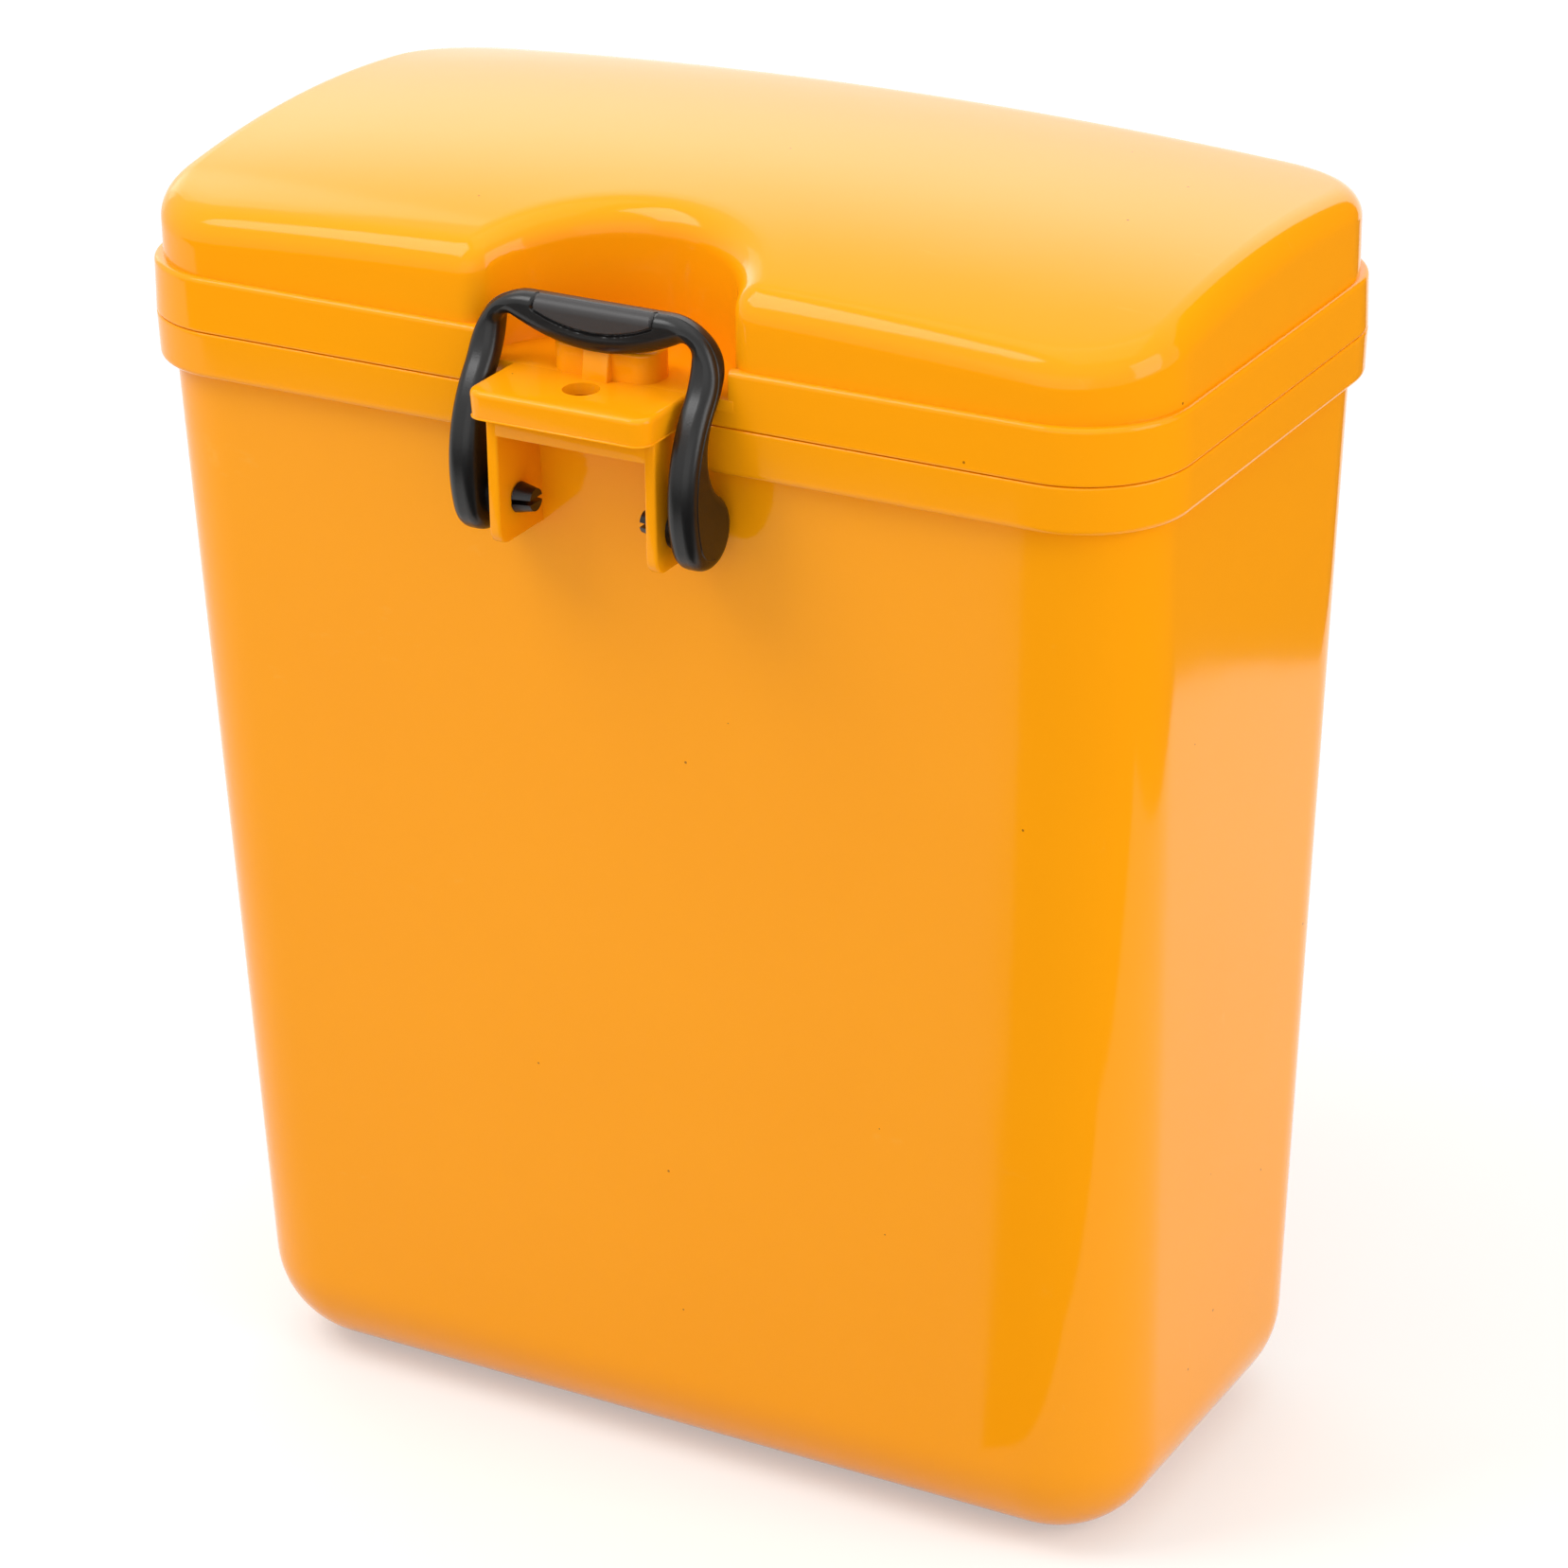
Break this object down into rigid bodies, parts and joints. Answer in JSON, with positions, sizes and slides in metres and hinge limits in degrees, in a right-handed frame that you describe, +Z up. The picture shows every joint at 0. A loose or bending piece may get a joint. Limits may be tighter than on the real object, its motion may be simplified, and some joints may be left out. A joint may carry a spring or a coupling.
{
  "type": "tool box",
  "caption": "Upright tapered plastic tool box with a crowned hinged lid, a scooped recess, a padlock tongue and a swinging bail latch at the front.",
  "frame": {"origin": "middle of the flat base, on the floor the box stands on", "axes": "+X to the box's right seen from the front, +Y to the back where the hinges are, +Z up; the latch faces -Y"},
  "size_m": [0.28, 0.1825, 0.3402],
  "materials": {
    "body_shell": "glossy orange moulded plastic",
    "lid_shell": "glossy orange moulded plastic",
    "latch_bail": "satin black moulded plastic",
    "hinge_pins": "plain drawn wire"
  },
  "bodies": {
    "base": {"body_shell": "body_shell", "hinge_pin_left": "hinge_pins", "hinge_pin_right": "hinge_pins"},
    "lid": {"lid_shell": "lid_shell"},
    "bail": {"latch_bail": "latch_bail"}
  },
  "joints": [
    {"name": "lid_hinge", "type": "hinge", "parent": "base", "child": "lid", "pos_m": [0, 0.0808, 0.2965], "axis": [-1, 0, 0], "range_deg": [0, 110]},
    {"name": "bail_pivot", "type": "hinge", "parent": "base", "child": "bail", "pos_m": [0, -0.0815, 0.2723], "axis": [1, 0, 0], "range_deg": [0, 175]}
  ]
}
